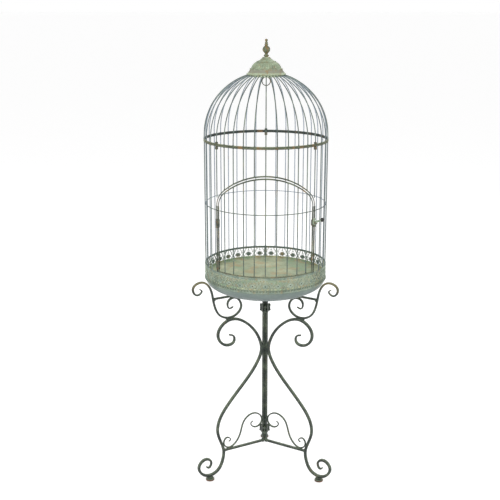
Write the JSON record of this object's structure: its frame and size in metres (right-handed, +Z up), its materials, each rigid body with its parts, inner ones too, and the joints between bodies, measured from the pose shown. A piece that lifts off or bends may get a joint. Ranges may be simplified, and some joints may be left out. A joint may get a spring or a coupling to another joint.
{
  "type": "bird cage on stand",
  "caption": "Round wire bird cage with a domed top, arched hinged door and pierced gallery, lifted off a three-legged stand of scrolled bars.",
  "frame": {"origin": "bottom centre of the bounding box, on the floor; the cage's own upright axis stands at x 0, y -0.0345", "axes": "+Z up, -Y to the front where the door is, +X to the right seen from the front"},
  "size_m": [0.472, 0.4731, 1.47],
  "materials": {
    "stand_paint": "aged green-black paint, rubbed to pale green on the edges",
    "foot_pad": "dull reddish brown",
    "fastener_steel": "dulled, part rusted",
    "cage_wire_paint": "aged grey-green paint",
    "frame_paint": "verdigris paint worn to brown",
    "gallery_paint": "pale verdigris with brown wear",
    "dish_paint": "blue-grey green, satin",
    "floor_paint": "mottled sage and ochre, matt",
    "crown_paint": "verdigris with brown-grey and ochre wear",
    "finial_metal": "verdigris rubbed to brown",
    "fitting_metal": "brown rust over dark paint",
    "latch_paint": "pale green, worn",
    "knob_black": "black, semi-gloss"
  },
  "bodies": {
    "stand": {"upright_left": "stand_paint", "upright_right": "stand_paint", "upright_back": "stand_paint", "leg_left": "stand_paint", "leg_right": "stand_paint", "leg_back": "stand_paint", "top_scroll_left": "stand_paint", "top_scroll_right": "stand_paint", "top_scroll_back": "stand_paint", "support_arm_left": "stand_paint", "support_arm_right": "stand_paint", "support_arm_back": "stand_paint", "brace_left": "stand_paint", "brace_right": "stand_paint", "brace_back": "stand_paint", "brace_scroll_left": "stand_paint", "brace_scroll_right": "stand_paint", "brace_scroll_back": "stand_paint", "foot_left": "stand_paint", "foot_right": "stand_paint", "foot_back": "stand_paint", "foot_pads": "foot_pad", "clamp_lower": "stand_paint", "clamp_upper": "stand_paint", "clamp_bolts": "fastener_steel", "clamp_nuts": "fastener_steel", "arm_rivets": "fastener_steel"},
    "cage": {"base_dish": "dish_paint", "floor_tray": "floor_paint", "gallery_band": "gallery_paint", "band_rim": "gallery_paint", "band_lip": "gallery_paint", "band_seam": "gallery_paint", "body_bars": "cage_wire_paint", "body_hoop": "cage_wire_paint", "body_ring": "frame_paint", "door_frame": "frame_paint", "hinge_collars": "fitting_metal", "latch_keeper": "fitting_metal", "joint_nuts": "fitting_metal", "joint_collars": "fitting_metal", "dome_ring": "frame_paint", "dome_bars": "cage_wire_paint", "crown_ring": "crown_paint", "crown_flare": "crown_paint", "crown_dome": "crown_paint", "crown_cap": "crown_paint", "finial": "finial_metal", "eye_bolt": "finial_metal"},
    "door": {"door_arch": "frame_paint", "door_bars": "cage_wire_paint", "door_hoop": "cage_wire_paint", "door_sill": "frame_paint", "hinge_straps": "fitting_metal", "latch_pivot": "fitting_metal"},
    "latch": {"latch_lever": "latch_paint", "latch_knob": "knob_black"},
    "hanging_ring": {"hanging_ring": "fitting_metal"}
  },
  "joints": [
    {"name": "cage_lift", "type": "slide", "parent": "stand", "child": "cage", "axis": [0, 0, 1], "range_m": [0, 0.3]},
    {"name": "door_swing", "type": "hinge", "parent": "cage", "child": "door", "pos_m": [-0.15278, -0.16044, 0.85], "axis": [0, 0, -1], "range_deg": [0, 120]},
    {"name": "latch_turn", "type": "hinge", "parent": "door", "child": "latch", "pos_m": [0.15197, -0.17134, 0.914], "axis": [0.7431, -0.6691, 0], "range_deg": [0, 60]},
    {"name": "ring_swing", "type": "hinge", "parent": "cage", "child": "hanging_ring", "pos_m": [0, -0.0345, 1.3526], "axis": [1, 0, 0], "range_deg": [-75, 75]}
  ]
}
